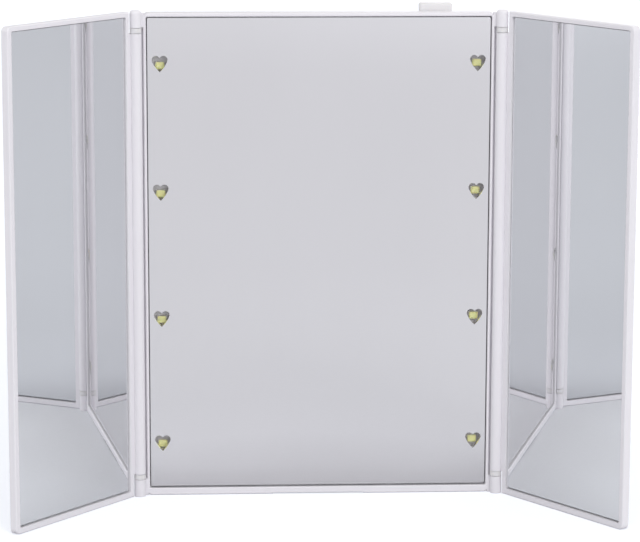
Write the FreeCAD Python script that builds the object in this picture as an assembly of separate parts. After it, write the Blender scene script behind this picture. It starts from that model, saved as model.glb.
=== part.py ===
import FreeCAD, Part
import math
import os

# Trifold vanity mirror with heart-shaped light windows. Millimetres.
# +Z is up, +X to the user's right, +Y to the back.
# The origin is the middle of the centre case's resting face.

V = FreeCAD.Vector

# ---- centre case, front frame
case_width = 128.7
case_height = 181.4
case_depth = 18.0
corner_r = 2.0
frame_depth = 6.0
frame_edge = 0.35
frame_rim_wall = 1.75
side_bezel = 1.15
top_bezel = 1.4
bottom_bezel = 2.7
pocket_corner_r = 0.5
lip_chamfer = 0.25
floor_wall = 1.4
relief_width = 34.0
relief_height = 0.5

# ---- centre mirror
glass_recess = 0.8
glass_thick = 1.8
glass_gap = 0.4
glass_gap_bottom = 0.7
glass_corner_cut = 0.4
tape_thick = 0.4
tape_margin = 0.9

# ---- hearts, light wells and circuit boards
heart_width = 5.85
heart_height = 6.0
heart_lobe_r = 1.55
heart_lobe_sides = 6
heart_flank_swell = 0.24
heart_pitch = 47.6
heart_count = 4
heart_inset = 4.9
window_gap = 0.02
well_size = 6.2
well_wall = 0.5
board_standoff = 2.0
board_width = 6.8
board_thick = 1.0
board_overrun = 8.6
led_width = 3.5
led_length = 2.8
led_thick = 1.4
led_rim = 0.2
led_cup_depth = 0.15
led_drop_left = 1.1
led_drop_right = 0.3

# ---- rear housing
housing_inset = 0.8
housing_draft = 3.0
housing_wall = 1.6
housing_edge_r = 4.0
tongue_thick = 1.0
tongue_reach = 1.2
tongue_length = 90.0
tongue_gap = 0.15

# ---- battery bay, cells and contacts
cell_count = 4
cell_d = 10.3
cell_length = 44.5
cell_gap = 0.3
cell_nub_r = 1.9
cell_nub_height = 0.9
bay_bottom_z = 30.0
bay_wall = 1.2
bay_floor = 1.0
bay_floor_gap = 0.2
cradle_inset = 12.0
cradle_foot = 4.0
cradle_height = 1.9
cradle_length = 4.0
plate_thick = 0.4
plate_height = 8.0
plate_overlap = 3.6
spring_height = 3.9
spring_width = 5.0
spring_thick = 0.3
spring_foot = 3.8
spring_crown = 1.5

# ---- battery door
door_thick = 1.6
door_margin_x = 2.0
door_margin_z = 4.2
door_gap = 0.3
door_corner_r = 1.5
ledge_thick = 1.2
ledge_rim = 1.4
tab_width = 8.0
tab_thick = 1.0
tab_length = 2.6
tab_spacing = 24.0
latch_width = 10.0
scoop_r = 9.0
scoop_depth = 0.8
scoop_length = 14.0
groove_count = 4
groove_pitch = 2.2
groove_width = 1.0
groove_depth = 0.4
groove_length = 16.0

# ---- countersunk case screws and their bosses
boss_width = 5.6
screw_head_r = 2.5
screw_r = 0.9
screw_fit_gap = 0.02
screw_length = 9.0
screw_top_x = 26.0
screw_low_x = 49.0
screw_edge_z = 11.0

# ---- push button and switch
button_inset = 21.15
button_width = 12.05
button_thick = 5.0
button_depth = 10.0
button_stand = 2.6
button_corner_r = 0.9
button_edge = 0.4
button_gap = 0.3
button_travel = 1.5
button_flange = 0.8
button_flange_thick = 1.2
button_rest_gap = 0.35
switch_width = 8.0
switch_height = 7.0
plunger_width = 3.2
plunger_show = 3.7
plunger_gap = 0.3
cradle_wall = 1.2

# ---- hinges
barrel_r = 2.15
hinge_stand = 0.6
hinge_gap = 0.45
cap_rise = 1.2
cap_round = 1.1
knuckle_top_length = 6.4
knuckle_bottom_length = 6.5
ear_depth = 2.0
rail_reach = 1.1
rail_depth = 1.6
collar_length = 1.9
collar_gap = 0.1
pin_r = 0.75
pin_seat_gap = 0.01
pin_run_gap = 0.06
pin_end_gap = 0.4
pin_cap = 1.6

# ---- wings
wing_reach = 66.5
wing_height = 182.0
wing_thick = 3.8
wing_inner_bezel = 2.0
wing_outer_bezel = 2.0
wing_top_bezel = 1.75
wing_bottom_bezel = 2.3
wing_corner_r = 2.0
wing_front_edge = 0.35
wing_back_edge = 0.8
wing_recess = 0.8
wing_glass_thick = 1.6
wing_glass_gap = 0.3
wing_glass_gap_bottom = 0.6
wing_tape_thick = 0.3
fold_angle_left = 50.0
fold_angle_right = 53.4

# ---- wiring
lead_width = 2.4
lead_thick = 0.5

# ---- derived sizes of the centre case
bezel_y = -case_depth / 2
pocket_x = case_width / 2 - side_bezel
pocket_z0 = bottom_bezel
pocket_z1 = case_height - top_bezel
middle_z = (pocket_z0 + pocket_z1) / 2
glass_back = glass_recess + glass_thick
floor_front = glass_back + tape_thick
floor_back = floor_front + floor_wall
heart_x = pocket_x - heart_inset
board_front = floor_back + board_standoff
back_inner = case_depth - housing_wall
button_x = case_width / 2 - button_inset
axis_x = case_width / 2 + hinge_gap + barrel_r
hinge_y = bezel_y - hinge_stand

# ---- derived sizes of the battery bay
bay_half = (cell_count * cell_d + (cell_count + 1) * cell_gap) / 2
bay_top_z = bay_bottom_z + 2 * plate_thick + spring_height + cell_length
bay_floor_front = floor_back + bay_floor_gap
bay_floor_back = bay_floor_front + bay_floor
cell_depth = bay_floor_back + cell_gap / 2 + cell_d / 2
door_front = case_depth - door_thick
door_x = bay_half + door_margin_x
door_z0 = bay_bottom_z - door_margin_z
door_z1 = bay_top_z + door_margin_z
tab_z = bay_bottom_z - bay_wall - door_gap - tab_thick / 2
latch_z = bay_top_z + bay_wall + door_gap + tab_thick / 2

# ---- derived sizes of the hinges
knuckle_top_z = case_height + cap_rise
collar_top_z = knuckle_top_z - knuckle_top_length - collar_gap
collar_bottom_z = knuckle_bottom_length + collar_gap
barrel_top_z = collar_top_z - collar_length - collar_gap
barrel_bottom_z = collar_bottom_z + collar_length + collar_gap


def depth(distance):
    """Y of a point this far behind the bezel plane."""
    return bezel_y + distance


def box(x0, x1, y0, y1, z0, z1):
    return Part.makeBox(x1 - x0, y1 - y0, z1 - z0, V(x0, y0, z0))


def rod_z(x, y, radius, z0, z1):
    return Part.makeCylinder(radius, z1 - z0, V(x, y, z0), V(0, 0, 1))


def rod_y(x, z, radius, y0, y1):
    return Part.makeCylinder(radius, y1 - y0, V(x, y0, z), V(0, 1, 0))


def prism(points, way):
    """Closed outline through these points, pushed this way."""
    return Part.Face(Part.makePolygon(points + points[:1])).extrude(way)


def corner_arc(cx, cz, radius, angle, y):
    """Quarter circle in an upright plane, starting at angle and turning anticlockwise."""
    points = []
    for step in (0, 45, 90):
        turn = math.radians(angle + step)
        points.append(V(cx + radius * math.cos(turn), y, cz + radius * math.sin(turn)))
    return Part.Arc(*points).toShape()


def round_rect(x0, x1, z0, z1, left_r, right_r, y):
    """Upright rectangle with rounded corners, one radius for each side."""
    arcs = [
        corner_arc(x1 - right_r, z0 + right_r, right_r, 270, y),
        corner_arc(x1 - right_r, z1 - right_r, right_r, 0, y),
        corner_arc(x0 + left_r, z1 - left_r, left_r, 90, y),
        corner_arc(x0 + left_r, z0 + left_r, left_r, 180, y),
    ]
    edges = []
    for index, arc in enumerate(arcs):
        following = arcs[(index + 1) % len(arcs)]
        edges.append(arc)
        edges.append(Part.makeLine(arc.Vertexes[-1].Point, following.Vertexes[0].Point))
    return Part.Wire(edges)


def slab(x0, x1, z0, z1, radius, y0, y1):
    outline = round_rect(x0, x1, z0, z1, radius, radius, y0)
    return Part.Face(outline).extrude(V(0, y1 - y0, 0))


def glass_sheet(x0, x1, z0, z1, y0, y1):
    """Sheet of glass with its corners clipped."""
    cut = glass_corner_cut
    outline = [(x0 + cut, z0), (x1 - cut, z0), (x1, z0 + cut), (x1, z1 - cut),
               (x1 - cut, z1), (x0 + cut, z1), (x0, z1 - cut), (x0, z0 + cut)]
    return prism([V(x, y0, z) for x, z in outline], V(0, y1 - y0, 0))


def edges_at_y(shape, y):
    """Edges that lie wholly in the upright plane at y."""
    found = []
    for edge in shape.Edges:
        bounds = edge.BoundBox
        if abs(bounds.YMin - y) < 1e-4 and abs(bounds.YMax - y) < 1e-4:
            found.append(edge)
    return found


def edges_beyond(shape, x):
    """Edges that lie wholly at this x or further right."""
    return [edge for edge in shape.Edges if edge.BoundBox.XMin > x - 1e-4]


def join(shapes):
    first = shapes[0]
    return first.fuse(shapes[1:]).removeSplitter()


def heart_wire(cx, cz, shrink, y):
    """Heart outline: two lobes of short sides and swelling flanks that meet in a point below."""
    lobe = heart_lobe_r - shrink
    lobe_x = heart_width / 2 - heart_lobe_r
    lobe_z = heart_height / 2 - heart_lobe_r
    tip_z = -heart_height / 2 + shrink * math.sqrt(2)
    notch_z = lobe_z + math.sqrt(lobe ** 2 - lobe_x ** 2)
    reach = math.hypot(lobe_x, lobe_z - tip_z)
    flank = math.atan2(tip_z - lobe_z, -lobe_x) + math.acos(lobe / reach)
    start = math.atan2(notch_z - lobe_z, -lobe_x)
    right = []
    left = []
    for step in range(1, heart_lobe_sides + 1):
        turn = start + step / heart_lobe_sides * (flank - start)
        across = lobe_x + lobe * math.cos(turn)
        height = cz + lobe_z + lobe * math.sin(turn)
        right.append(V(cx + across, y, height))
        left.insert(0, V(cx - across, y, height))
    for share in (2 / 3, 1 / 3):
        out_x = across * share + heart_flank_swell * math.cos(flank)
        out_z = height * share + (cz + tip_z) * (1 - share) + heart_flank_swell * math.sin(flank)
        right.append(V(cx + out_x, y, out_z))
        left.insert(0, V(cx - out_x, y, out_z))
    notch = V(cx, y, cz + notch_z)
    return Part.makePolygon([notch] + right + [V(cx, y, cz + tip_z)] + left + [notch])


def heart_places():
    """Middles of the hearts: up the left column, then up the right."""
    places = []
    for side in (-1, 1):
        for row in range(heart_count):
            lift = (row - (heart_count - 1) / 2) * heart_pitch
            places.append((side * heart_x, middle_z + lift))
    return places


def heart_prism(cx, cz, shrink):
    outline = heart_wire(cx, cz, shrink, depth(glass_recess))
    return Part.Face(outline).extrude(V(0, glass_thick, 0))


def screw_places():
    """Two screws above and two below."""
    places = []
    for side in (-1, 1):
        places.append((side * screw_top_x, case_height - screw_edge_z))
        places.append((side * screw_low_x, screw_edge_z))
    return places


def knuckle(side, z0, z1, domed):
    """Fixed hinge knuckle with the ear that carries it on the frame."""
    barrel = rod_z(side * axis_x, hinge_y, barrel_r, z0, z1)
    if domed:
        barrel = barrel.makeFillet(cap_round, [edge for edge in barrel.Edges if edge.BoundBox.ZMin > z1 - 1e-4])
    ear_z1 = min(z1, case_height)
    inner = side * (case_width / 2 - side_bezel / 2)
    outer = side * axis_x
    ear = box(min(inner, outer), max(inner, outer), bezel_y, depth(ear_depth), z0, ear_z1)
    return barrel.fuse(ear)


def front_frame():
    half = case_width / 2
    body = slab(-half, half, 0, case_height, corner_r, bezel_y, depth(frame_depth))
    body = body.makeChamfer(frame_edge, edges_at_y(body, bezel_y))
    pocket = slab(-pocket_x, pocket_x, pocket_z0, pocket_z1, pocket_corner_r, bezel_y, depth(floor_front))
    lip = lip_chamfer
    wide = round_rect(-pocket_x - lip, pocket_x + lip, pocket_z0 - lip, pocket_z1 + lip,
                      pocket_corner_r + lip, pocket_corner_r + lip, bezel_y)
    narrow = round_rect(-pocket_x, pocket_x, pocket_z0, pocket_z1,
                        pocket_corner_r, pocket_corner_r, depth(lip))
    mouth = Part.makeLoft([wide, narrow], True, True)
    rim_x = half - frame_rim_wall
    hollow = box(-rim_x, rim_x, depth(floor_back), depth(frame_depth),
                 frame_rim_wall, case_height - frame_rim_wall)
    body = body.cut([pocket, mouth, hollow])
    body = body.fuse(frame_wells() + frame_bosses() + frame_knuckles() + frame_rails())
    cuts = frame_windows()
    cuts.append(box(-relief_width / 2, relief_width / 2, bezel_y, depth(frame_depth), 0, relief_height))
    for side in (-1, 1):
        cuts.append(rod_z(side * axis_x, hinge_y, pin_r + pin_seat_gap,
                          collar_top_z, knuckle_top_z - pin_cap))
        cuts.append(rod_z(side * axis_x, hinge_y, pin_r + pin_seat_gap, 0, collar_bottom_z))
    for x, z in screw_places():
        cuts.append(rod_y(x, z, screw_r + screw_fit_gap,
                          depth(case_depth - screw_length - pin_end_gap), depth(back_inner)))
    return body.cut(cuts).removeSplitter()


def frame_wells():
    """Short square tubes that keep each diode's light to its own heart."""
    reach = well_size / 2 + well_wall
    tubes = []
    for x, z in heart_places():
        tubes.append(box(x - reach, x + reach, depth(floor_front), depth(board_front), z - reach, z + reach))
    return tubes


def frame_windows():
    reach = well_size / 2
    holes = []
    for x, z in heart_places():
        holes.append(box(x - reach, x + reach, depth(floor_front), depth(board_front), z - reach, z + reach))
    return holes


def frame_bosses():
    """Square posts that reach the housing's back wall."""
    half = boss_width / 2
    return [box(x - half, x + half, depth(floor_front), depth(back_inner), z - half, z + half)
            for x, z in screw_places()]


def frame_knuckles():
    posts = []
    for side in (-1, 1):
        posts.append(knuckle(side, knuckle_top_z - knuckle_top_length, knuckle_top_z, True))
        posts.append(knuckle(side, 0, knuckle_bottom_length, False))
    return posts


def frame_rails():
    """Strips down the frame's sides that close the slots beside the wing barrels."""
    rails = []
    for side in (-1, 1):
        inner = side * (case_width / 2 - side_bezel / 2)
        outer = side * (case_width / 2 + rail_reach)
        rails.append(box(min(inner, outer), max(inner, outer), depth(rail_depth), depth(frame_depth),
                         corner_r, case_height - corner_r))
    return rails


def draft_at(distance):
    """How far the drafted housing wall has come in at this depth."""
    return (distance - frame_depth) * math.tan(math.radians(housing_draft))


def housing_block(wall):
    """Drafted block with rounded corners: the housing's outside, or the hollow inside this wall."""
    y0 = depth(frame_depth)
    y1 = depth(case_depth - wall)
    wide = case_width / 2 - housing_inset - wall
    high = case_height - housing_inset - wall
    taper = draft_at(case_depth - wall)
    plan = [V(-wide, y0, wall), V(wide, y0, wall), V(wide - taper, y1, wall), V(taper - wide, y1, wall)]
    side = [V(-wide, y0, wall), V(-wide, y0, high), V(-wide, y1, high - taper), V(-wide, y1, wall)]
    block = prism(plan, V(0, 0, high)).common(prism(side, V(2 * wide, 0, 0)))
    corners = [edge for edge in block.Edges if edge.BoundBox.YLength > y1 - y0 - 1e-4]
    rims = [] if wall else edges_at_y(block, y1)
    return block.makeFillet(housing_edge_r - wall, corners + rims)


def rear_housing():
    shell = housing_block(0).cut(housing_block(housing_wall))
    shell = shell.fuse(bay_walls() + [switch_cradle()] + tongues())
    cuts = [box(-bay_half, bay_half, depth(bay_floor_back), depth(case_depth), bay_bottom_z, bay_top_z)]
    cuts.append(slab(-door_x - door_gap, door_x + door_gap, door_z0 - door_gap, door_z1 + door_gap,
                     door_corner_r + door_gap, depth(door_front), depth(case_depth)))
    cuts += door_slots() + [button_slot()]
    cuts += [countersink(x, z, screw_fit_gap) for x, z in screw_places()]
    shell = shell.cut(cuts)
    return shell.fuse(cell_cradles()).removeSplitter()


def countersink(x, z, gap):
    """Cone of a screw's head in the back wall, with this gap round it."""
    return Part.makeCone(screw_head_r + gap, screw_r + gap, housing_wall, V(x, depth(case_depth), z),
                         V(0, -1, 0))


def bay_walls():
    """Tub for the cells and the ledge that the door lies on."""
    side = bay_half + bay_wall
    tub = box(-side, side, depth(bay_floor_front), depth(back_inner),
              bay_bottom_z - bay_wall, bay_top_z + bay_wall)
    rim = door_gap + ledge_rim
    ledge = box(-door_x - rim, door_x + rim, depth(door_front - ledge_thick), depth(back_inner),
                door_z0 - rim, door_z1 + rim)
    return [tub, ledge]


def door_slots():
    """Slots in the ledge for the door's two tabs and its latch leg."""
    slots = []
    y0 = depth(door_front - ledge_thick)
    y1 = depth(door_front)
    half = tab_thick / 2 + door_gap
    for side in (-1, 1):
        x = side * tab_spacing / 2
        reach = tab_width / 2 + door_gap
        slots.append(box(x - reach, x + reach, y0, y1, tab_z - half, tab_z + half))
    reach = latch_width / 2 + door_gap
    slots.append(box(-reach, reach, y0, y1, latch_z - half, latch_z + half))
    return slots


def cell_xs():
    pitch = cell_d + cell_gap
    return [(index - (cell_count - 1) / 2) * pitch for index in range(cell_count)]


def cell_span(index):
    """Lower and upper end of a cell. Its spring is below when index is even, above when odd."""
    if index % 2 == 0:
        top = bay_top_z - plate_thick
        return top - cell_length, top
    bottom = bay_bottom_z + plate_thick
    return bottom, bottom + cell_length


def cell_cradles():
    """Wedges on the bay floor between neighbouring cells, in two rows."""
    pitch = cell_d + cell_gap
    foot = depth(bay_floor_back - bay_floor / 2)
    crest = depth(bay_floor_back + cradle_height)
    wedges = []
    for z in (bay_bottom_z + cradle_inset, bay_top_z - cradle_inset):
        for left_x in cell_xs()[:-1]:
            x = left_x + pitch / 2
            low = z - cradle_length / 2
            outline = [V(x - cradle_foot / 2, foot, low), V(x + cradle_foot / 2, foot, low), V(x, crest, low)]
            wedges.append(prism(outline, V(0, 0, cradle_length)))
    return wedges


def switch_cradle():
    """Shelf and backing of the switch on the back wall."""
    half = switch_width / 2
    low = switch_bottom_z() - cradle_wall
    shelf = box(button_x - half, button_x + half, depth(button_depth - half), depth(back_inner),
                low, switch_bottom_z())
    backing = box(button_x - half, button_x + half, depth(button_depth + half), depth(back_inner),
                  low, switch_bottom_z() + switch_height)
    return shelf.fuse(backing)


def tongues():
    """Locating tongues inside the front frame's rim, above and below."""
    top = case_height - frame_rim_wall - tongue_gap
    bottom = frame_rim_wall + tongue_gap
    half = tongue_length / 2
    mating = depth(frame_depth)
    strips = []
    for z in (top - tongue_thick, bottom):
        strips.append(box(-half, half, mating - tongue_reach, mating + tongue_reach, z, z + tongue_thick))
    strips.append(box(-half, half, mating, mating + tongue_reach, housing_wall / 2, bottom + tongue_thick))
    strips.append(box(-half, half, mating, mating + tongue_reach, top - tongue_thick,
                      case_height - housing_inset - housing_wall / 2))
    return strips


def housing_ceiling(distance):
    """Inner face of the housing's top wall at this depth."""
    return case_height - housing_inset - draft_at(distance) - housing_wall


def flange_top_z():
    return housing_ceiling(button_depth + button_thick / 2 + button_flange) - button_rest_gap


def flange_bottom_z():
    return flange_top_z() - button_flange_thick


def switch_top_z():
    return flange_bottom_z() - plunger_show


def switch_bottom_z():
    return switch_top_z() - switch_height


def button_slot():
    reach_x = button_width / 2 + button_gap
    reach_y = button_thick / 2 + button_gap
    return box(button_x - reach_x, button_x + reach_x, depth(button_depth - reach_y),
               depth(button_depth + reach_y), flange_top_z(), case_height)


def push_button():
    half_x = button_width / 2
    half_y = button_thick / 2
    top = case_height + button_stand
    cap = box(button_x - half_x, button_x + half_x, depth(button_depth - half_y),
              depth(button_depth + half_y), flange_bottom_z(), top)
    cap = cap.makeFillet(button_corner_r, [edge for edge in cap.Edges if edge.BoundBox.ZLength > button_stand])
    cap = cap.makeChamfer(button_edge, [edge for edge in cap.Edges if edge.BoundBox.ZMin > top - 1e-4])
    reach_x = half_x + button_flange
    reach_y = half_y + button_flange
    flange = box(button_x - reach_x, button_x + reach_x, depth(button_depth - reach_y),
                 depth(button_depth + reach_y), flange_bottom_z(), flange_top_z())
    return join([cap, flange])


def switch_body():
    half = switch_width / 2
    bore = plunger_width / 2 + plunger_gap
    body = box(button_x - half, button_x + half, depth(button_depth - half), depth(button_depth + half),
               switch_bottom_z(), switch_top_z())
    well = box(button_x - bore, button_x + bore, depth(button_depth - bore), depth(button_depth + bore),
               switch_top_z() - 2 * button_travel - plunger_gap, switch_top_z())
    return body.cut(well)


def switch_plunger():
    half = plunger_width / 2
    return box(button_x - half, button_x + half, depth(button_depth - half), depth(button_depth + half),
               switch_top_z() - button_travel, flange_bottom_z())


def centre_mirror():
    half = pocket_x - glass_gap
    glass = glass_sheet(-half, half, pocket_z0 + glass_gap_bottom, pocket_z1 - glass_gap,
                        depth(glass_recess), depth(glass_back))
    return glass.cut([heart_prism(x, z, 0) for x, z in heart_places()])


def heart_windows():
    return [heart_prism(x, z, window_gap) for x, z in heart_places()]


def centre_tape():
    half = pocket_x - glass_gap - tape_margin
    sheet = box(-half, half, depth(glass_back), depth(floor_front),
                pocket_z0 + glass_gap_bottom + tape_margin, pocket_z1 - glass_gap - tape_margin)
    return sheet.cut(tape_windows())


def tape_windows():
    reach = well_size / 2
    holes = []
    for x, z in heart_places():
        holes.append(box(x - reach, x + reach, depth(glass_back), depth(floor_front), z - reach, z + reach))
    return holes


def led_board(side):
    """Strip board behind one column of hearts."""
    x = side * heart_x
    half = board_width / 2
    reach = (heart_count - 1) / 2 * heart_pitch + board_overrun
    return box(x - half, x + half, depth(board_front), depth(board_front + board_thick),
               middle_z - reach, middle_z + reach)


def leds(side):
    """Surface-mount diodes with a shallow phosphor cup in the face."""
    packages = []
    drop = led_drop_left if side < 0 else led_drop_right
    for x, heart_z in heart_places():
        z = heart_z - drop
        if x * side > 0:
            front = board_front - led_thick
            half_x = led_width / 2
            half_z = led_length / 2
            body = box(x - half_x, x + half_x, depth(front), depth(board_front), z - half_z, z + half_z)
            half_x -= led_rim
            half_z -= led_rim
            cup = box(x - half_x, x + half_x, depth(front), depth(front + led_cup_depth), z - half_z, z + half_z)
            packages.append(body.cut(cup))
    return packages


def case_screws():
    screws = []
    for x, z in screw_places():
        shank = rod_y(x, z, screw_r, depth(case_depth - screw_length), depth(back_inner))
        screws.append(countersink(x, z, 0).fuse(shank))
    return screws


def battery_cells():
    cells = []
    for index, x in enumerate(cell_xs()):
        z0, z1 = cell_span(index)
        nub_up = index % 2 == 0
        can_z0 = z0 if nub_up else z0 + cell_nub_height
        can_z1 = z1 - cell_nub_height if nub_up else z1
        can = rod_z(x, depth(cell_depth), cell_d / 2, can_z0, can_z1)
        if nub_up:
            nub = rod_z(x, depth(cell_depth), cell_nub_r, can_z1 - cell_nub_height, z1)
        else:
            nub = rod_z(x, depth(cell_depth), cell_nub_r, z0, can_z0 + cell_nub_height)
        cells.append(can.fuse(nub))
    return cells


def contact_plate(first, last, z0):
    """Plate against an end wall of the bay, behind cells first to last."""
    xs = cell_xs()
    half = plate_height / 2
    return box(xs[first] - plate_overlap, xs[last] + plate_overlap, depth(cell_depth - half),
               depth(cell_depth + half), z0, z0 + plate_thick)


def contact_plates():
    """Cells in series: pairs joined above, the inner pair joined below."""
    top = bay_top_z - plate_thick
    plates = [contact_plate(index, index + 1, top) for index in range(0, cell_count, 2)]
    plates.append(contact_plate(0, 0, bay_bottom_z))
    for index in range(1, cell_count - 1, 2):
        plates.append(contact_plate(index, index + 1, bay_bottom_z))
    plates.append(contact_plate(cell_count - 1, cell_count - 1, bay_bottom_z))
    return plates


def contact_springs():
    """Bent leaf at the flat end of each cell: two legs and the crown that the cell presses."""
    leaves = []
    y = depth(cell_depth)
    for index, x in enumerate(cell_xs()):
        nub_up = index % 2 == 0
        foot = bay_bottom_z + plate_thick if nub_up else bay_top_z - plate_thick
        way = 1 if nub_up else -1
        outside = [(spring_foot, 0), (spring_crown, spring_height), (-spring_crown, spring_height),
                   (-spring_foot, 0)]
        inside = [(spring_thick - spring_foot, 0), (spring_thick / 2 - spring_crown, spring_height - spring_thick),
                  (spring_crown - spring_thick / 2, spring_height - spring_thick), (spring_foot - spring_thick, 0)]
        outline = [V(x - spring_width / 2, y + across, foot + way * up) for across, up in outside + inside]
        leaves.append(prism(outline, V(spring_width, 0, 0)))
    return leaves


def battery_door():
    plate = slab(-door_x, door_x, door_z0, door_z1, door_corner_r, depth(door_front), depth(case_depth))
    legs = []
    y0 = depth(door_front - tab_length)
    for side in (-1, 1):
        x = side * tab_spacing / 2
        legs.append(box(x - tab_width / 2, x + tab_width / 2, y0, depth(door_front),
                        tab_z - tab_thick / 2, tab_z + tab_thick / 2))
    legs.append(box(-latch_width / 2, latch_width / 2, y0, depth(door_front),
                    latch_z - tab_thick / 2, latch_z + tab_thick / 2))
    scoop_z = door_z1 - scoop_r
    centre = V(-scoop_length / 2, depth(case_depth - scoop_depth + scoop_r), scoop_z)
    scoop = Part.makeCylinder(scoop_r, scoop_length, centre, V(1, 0, 0))
    door = plate.fuse(legs).cut(scoop)
    return door.cut(grip_grooves(scoop_z - scoop_r)).removeSplitter()


def grip_grooves(top_z):
    """Shallow finger grooves across the door, below its scoop."""
    half = groove_length / 2
    grooves = []
    for index in range(groove_count):
        z = top_z - index * groove_pitch
        outline = [V(-half, depth(case_depth), z), V(-half, depth(case_depth), z - groove_width),
                   V(-half, depth(case_depth - groove_depth), z - groove_width / 2)]
        grooves.append(prism(outline, V(2 * half, 0, 0)))
    return grooves


def hinge_pins():
    """One long rod for each hinge, pushed in from below."""
    return [rod_z(side * axis_x, hinge_y, pin_r, pin_end_gap, knuckle_top_z - pin_cap) for side in (-1, 1)]


def hinge_collars():
    rings = []
    for side in (-1, 1):
        for z0 in (collar_top_z - collar_length, collar_bottom_z):
            ring = rod_z(side * axis_x, hinge_y, barrel_r, z0, z0 + collar_length)
            bore = rod_z(side * axis_x, hinge_y, pin_r + pin_run_gap, z0, z0 + collar_length)
            rings.append(ring.cut(bore))
    return rings


def wing_pocket_sides():
    """Pocket of a wing: inner and outer side, bottom and top."""
    plate_start = barrel_r + hinge_gap
    return (plate_start + wing_inner_bezel, wing_reach - wing_outer_bezel,
            wing_bottom_bezel, wing_height - wing_top_bezel)


def wing_frame():
    """Right wing, opened flat, with its hinge axis on the Z axis."""
    start = barrel_r + hinge_gap
    front = hinge_stand
    back = hinge_stand + wing_thick
    plate = box(start, wing_reach, front, back, 0, wing_height)
    corners = [edge for edge in edges_beyond(plate, wing_reach) if edge.BoundBox.YLength > wing_thick / 2]
    plate = plate.makeFillet(wing_corner_r, corners)
    plate = plate.makeChamfer(wing_front_edge, edges_at_y(plate, front))
    plate = plate.makeChamfer(wing_back_edge, edges_at_y(plate, back))
    barrel = rod_z(0, 0, barrel_r, barrel_bottom_z, barrel_top_z)
    web_end = start + wing_inner_bezel / 2
    low = barrel_bottom_z
    corners = [V(0, front, low), V(web_end, front, low), V(web_end, back - wing_back_edge, low),
               V(start + wing_back_edge, back - wing_back_edge / 3, low), V(0, barrel_r, low)]
    web = prism(corners, V(0, 0, barrel_top_z - barrel_bottom_z))
    s0, s1, z0, z1 = wing_pocket_sides()
    pocket = slab(s0, s1, z0, z1, pocket_corner_r, front,
                  front + wing_recess + wing_glass_thick + wing_tape_thick)
    bore = rod_z(0, 0, pin_r + pin_run_gap, barrel_bottom_z, barrel_top_z)
    return plate.fuse([barrel, web]).cut([pocket, bore]).removeSplitter()


def wing_mirror():
    s0, s1, z0, z1 = wing_pocket_sides()
    front = hinge_stand + wing_recess
    return glass_sheet(s0 + wing_glass_gap, s1 - wing_glass_gap, z0 + wing_glass_gap_bottom, z1 - wing_glass_gap,
                       front, front + wing_glass_thick)


def wing_tape():
    s0, s1, z0, z1 = wing_pocket_sides()
    front = hinge_stand + wing_recess + wing_glass_thick
    return box(s0 + tape_margin, s1 - tape_margin, front, front + wing_tape_thick,
               z0 + tape_margin, z1 - tape_margin)


def place_wing(shape, side, fold):
    """Puts a flat right-hand wing piece on its own side, folded forward by fold degrees."""
    placed = shape.copy()
    if side < 0:
        placed = placed.mirror(V(0, 0, 0), V(1, 0, 0))
    placed.rotate(V(0, 0, 0), V(0, 0, 1), -side * fold)
    placed.translate(V(side * axis_x, hinge_y, 0))
    return placed


def flat_lead(points):
    """Flat two-core lead, in level and upright runs on the frame's back."""
    half = lead_width / 2
    runs = []
    for (x0, z0), (x1, z1) in zip(points, points[1:]):
        runs.append(box(min(x0, x1) - half, max(x0, x1) + half, depth(floor_back),
                        depth(floor_back + lead_thick), min(z0, z1) - half, max(z0, z1) + half))
    return join(runs)


def wiring():
    """Leads from the bay to the switch and the boards."""
    bay_x = bay_half - lead_width
    above_bay = bay_top_z + bay_wall + lead_width
    board_z = middle_z + heart_count / 2 * heart_pitch - heart_pitch / 2 + well_size
    cross_z = case_height - frame_rim_wall - tongue_thick - lead_width
    turn_z = middle_z + heart_pitch / 2
    board_gap_z = middle_z + heart_pitch
    to_switch = button_x - lead_width
    from_switch = button_x + lead_width
    switch_z = switch_top_z() - lead_width
    routes = [
        [(-heart_x, board_z), (-heart_x, cross_z), (heart_x, cross_z), (heart_x, board_z)],
        [(bay_x, above_bay), (bay_x, turn_z), (to_switch, turn_z), (to_switch, switch_z)],
        [(from_switch, switch_z), (from_switch, board_gap_z), (heart_x, board_gap_z)],
        [(-bay_x, above_bay), (-bay_x, middle_z), (-heart_x, middle_z)],
    ]
    return [flat_lead(route) for route in routes]


def export(name, shapes):
    solid = shapes if isinstance(shapes, Part.Shape) else Part.makeCompound(shapes)
    solid.exportStep("parts/" + name + ".step")


def main():
    os.makedirs("parts", exist_ok=True)
    export("front_frame", front_frame())
    export("rear_housing", rear_housing())
    export("centre_mirror", centre_mirror())
    export("heart_windows", heart_windows())
    export("centre_tape", centre_tape())
    export("led_board_left", led_board(-1))
    export("led_board_right", led_board(1))
    export("leds_left", leds(-1))
    export("leds_right", leds(1))
    export("case_screws", case_screws())
    export("battery_cells", battery_cells())
    export("contact_plates", contact_plates())
    export("contact_springs", contact_springs())
    export("battery_door", battery_door())
    export("push_button", push_button())
    export("switch_body", switch_body())
    export("switch_plunger", switch_plunger())
    export("hinge_pins", hinge_pins())
    export("hinge_collars", hinge_collars())
    export("wiring", wiring())
    for name, side, fold in (("left", -1, fold_angle_left), ("right", 1, fold_angle_right)):
        export("wing_frame_" + name, place_wing(wing_frame(), side, fold))
        export("wing_mirror_" + name, place_wing(wing_mirror(), side, fold))
        export("wing_tape_" + name, place_wing(wing_tape(), side, fold))


main()
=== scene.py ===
"""Trifold vanity mirror: finishes, trim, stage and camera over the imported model.

Lengths are in metres, in the model's own frame: +Z up, +X to the user's right, +Y to the back.
"""
import logging
import math
from dataclasses import dataclass
from enum import Enum
from typing import Callable, Iterable, List, Optional, Sequence, Tuple

import bpy
import numpy as np
from mathutils import Matrix, Vector


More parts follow.
